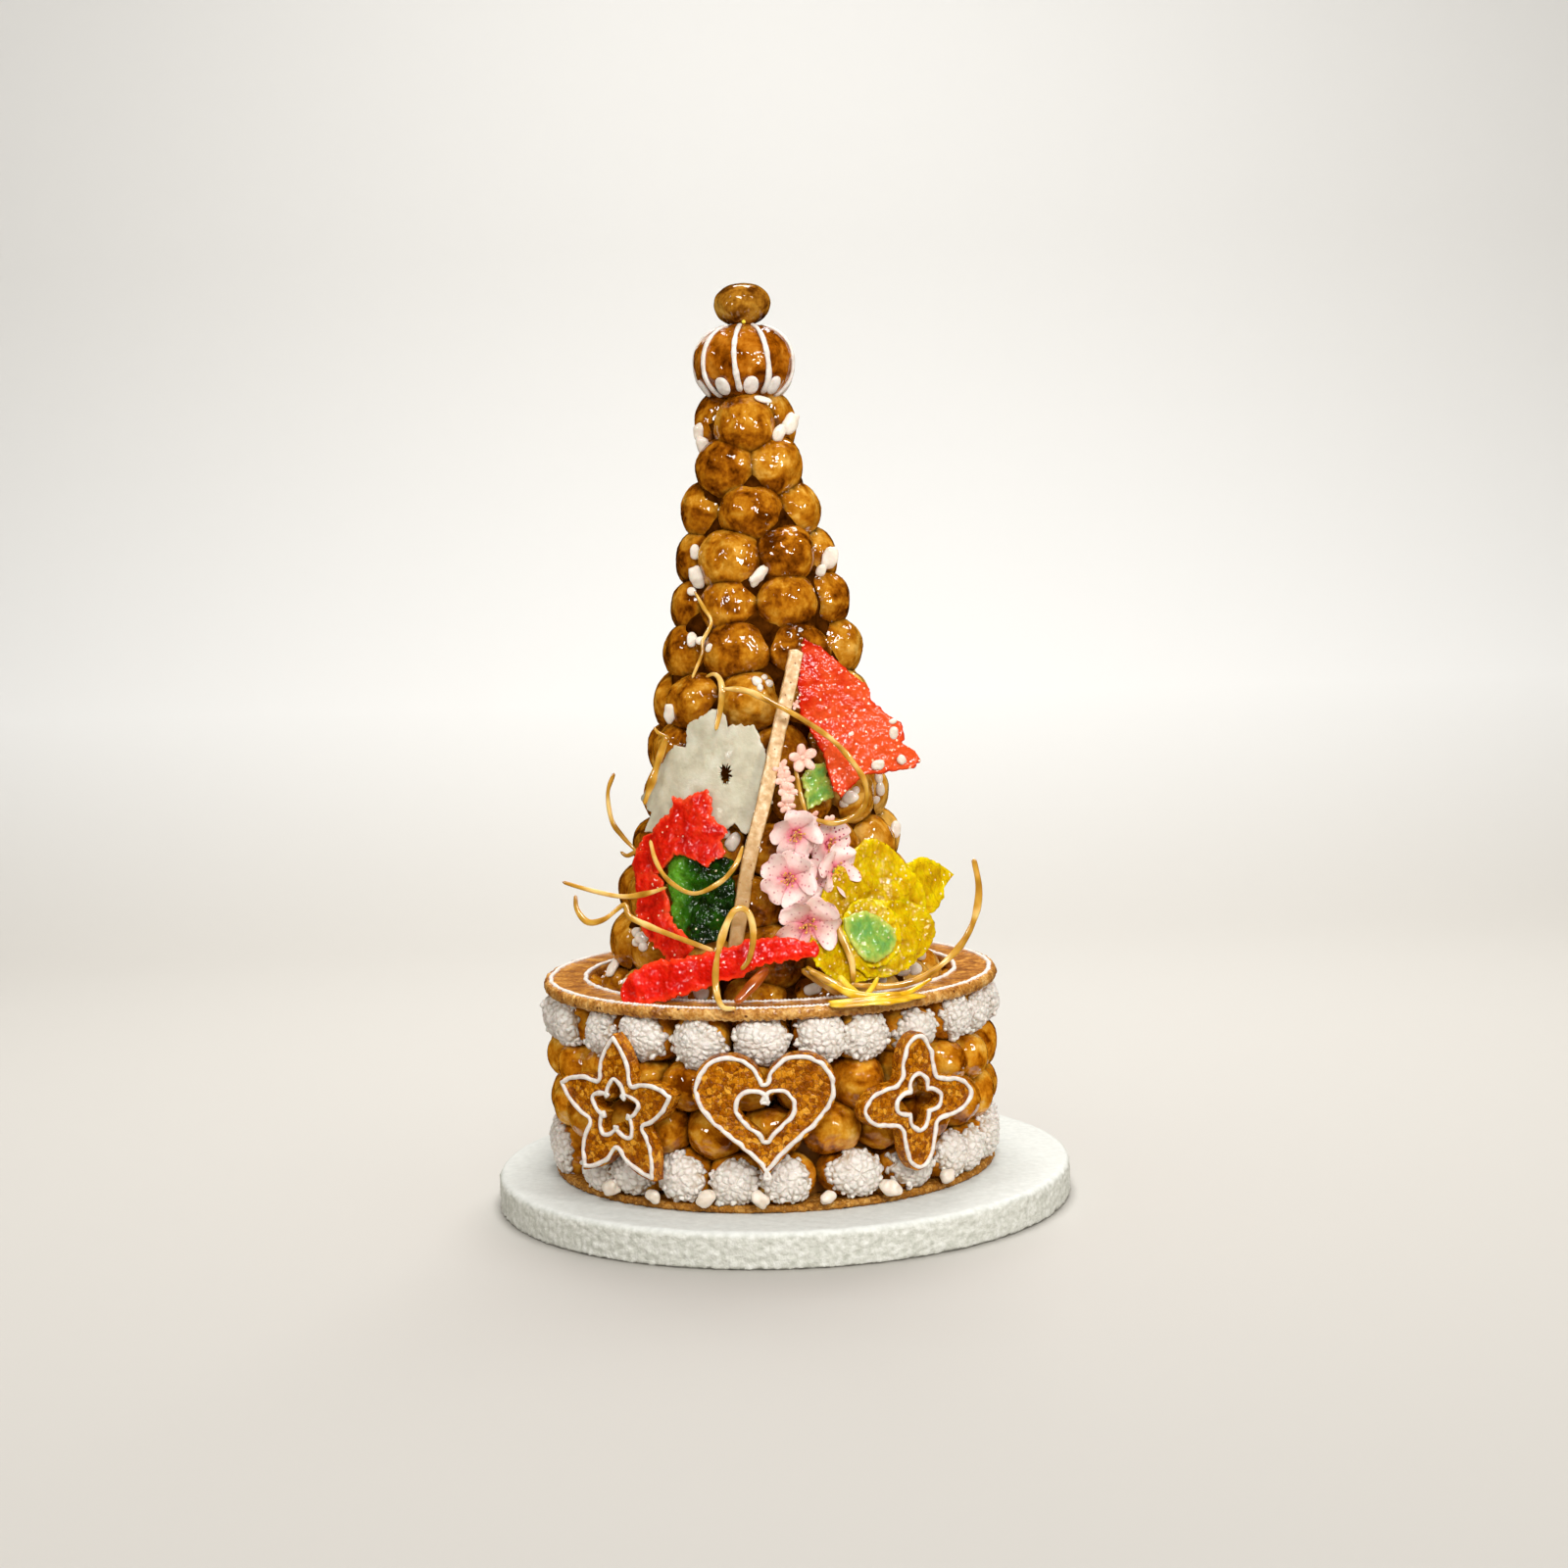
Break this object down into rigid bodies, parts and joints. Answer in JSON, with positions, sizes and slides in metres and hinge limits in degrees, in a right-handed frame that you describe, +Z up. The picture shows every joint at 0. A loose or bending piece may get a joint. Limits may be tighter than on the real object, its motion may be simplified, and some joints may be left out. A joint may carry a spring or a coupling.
{
  "type": "croquembouche",
  "caption": "Tall cone of caramel choux standing in a round choux drum with a flat nougatine rim, pierced plaques, poured-sugar sheets, strands and blossoms, on a white board.",
  "frame": {"origin": "middle of the underside of the board", "axes": "+Z up the tower, -Y towards the decorated front, +X to the right seen from the front"},
  "size_m": [0.4, 0.4, 0.6313],
  "materials": {
    "board_icing": "matte rough-cast white",
    "nougatine": "amber caramel with chopped almond, satin",
    "caramel_choux": "glossy mottled caramel",
    "royal_icing": "satin white piping",
    "white_sugar": "satin white sugar",
    "red_sugar": "bubbly glossy poured sugar",
    "dark_green_sugar": "bubbly glossy poured sugar",
    "pale_green_sugar": "bubbly glossy poured sugar",
    "yellow_sugar": "glossy poured sugar",
    "cream_sugar": "satin speckled pressed sugar",
    "stick_biscuit": "satin pale nougatine",
    "gold_sugar": "glossy pulled sugar",
    "brown_sugar": "glossy caramel stick",
    "sugar_paste": "matte pale pink sugar paste"
  },
  "bodies": {
    "root": {"base_disc": "nougatine", "blossom_1": "sugar_paste", "blossom_2": "sugar_paste", "blossom_3": "sugar_paste", "blossom_4": "sugar_paste", "blossom_5": "sugar_paste", "blossom_6": "sugar_paste", "board": "board_icing", "cone_tier_01": "caramel_choux", "cone_tier_02": "caramel_choux", "cone_tier_03": "caramel_choux", "cone_tier_04": "caramel_choux", "cone_tier_05": "caramel_choux", "cone_tier_06": "caramel_choux", "cone_tier_07": "caramel_choux", "cone_tier_08": "caramel_choux", "cone_tier_09": "caramel_choux", "cone_tier_10": "caramel_choux", "cone_tier_11": "caramel_choux", "cone_tier_12": "caramel_choux", "cone_tier_13": "caramel_choux", "crown_ball": "caramel_choux", "drum_core": "caramel_choux", "drum_row_1": "caramel_choux", "drum_row_2": "caramel_choux", "drum_row_3": "caramel_choux", "drum_row_4": "caramel_choux", "flag_stick": "stick_biscuit", "plaque_clover": "nougatine", "plaque_heart": "nougatine", "plaque_star": "nougatine", "rim_ring": "nougatine", "sheet_cream": "cream_sugar", "sheet_dark_green": "dark_green_sugar", "sheet_flag": "red_sugar", "sheet_green_disc": "pale_green_sugar", "sheet_green_square": "pale_green_sugar", "sheet_red": "red_sugar", "sheet_red_strip": "red_sugar", "sheet_yellow": "yellow_sugar", "sheet_yellow_point": "yellow_sugar", "stick_amber": "gold_sugar", "stick_brown": "brown_sugar", "strand_bow": "gold_sugar", "strand_hook": "gold_sugar", "strand_left_arc": "gold_sugar", "strand_left_hook": "gold_sugar", "strand_left_long": "gold_sugar", "strand_loop": "gold_sugar", "strand_right_arc": "gold_sugar", "strand_swag": "gold_sugar", "sugar_pebble_1": "white_sugar", "sugar_pebble_2": "white_sugar", "sugar_pebble_3": "white_sugar", "sugar_pebble_4": "white_sugar", "sugar_pebble_5": "white_sugar", "sugar_pebble_6": "white_sugar", "sugar_pebble_7": "white_sugar", "top_puff": "caramel_choux"}
  },
  "joints": []
}
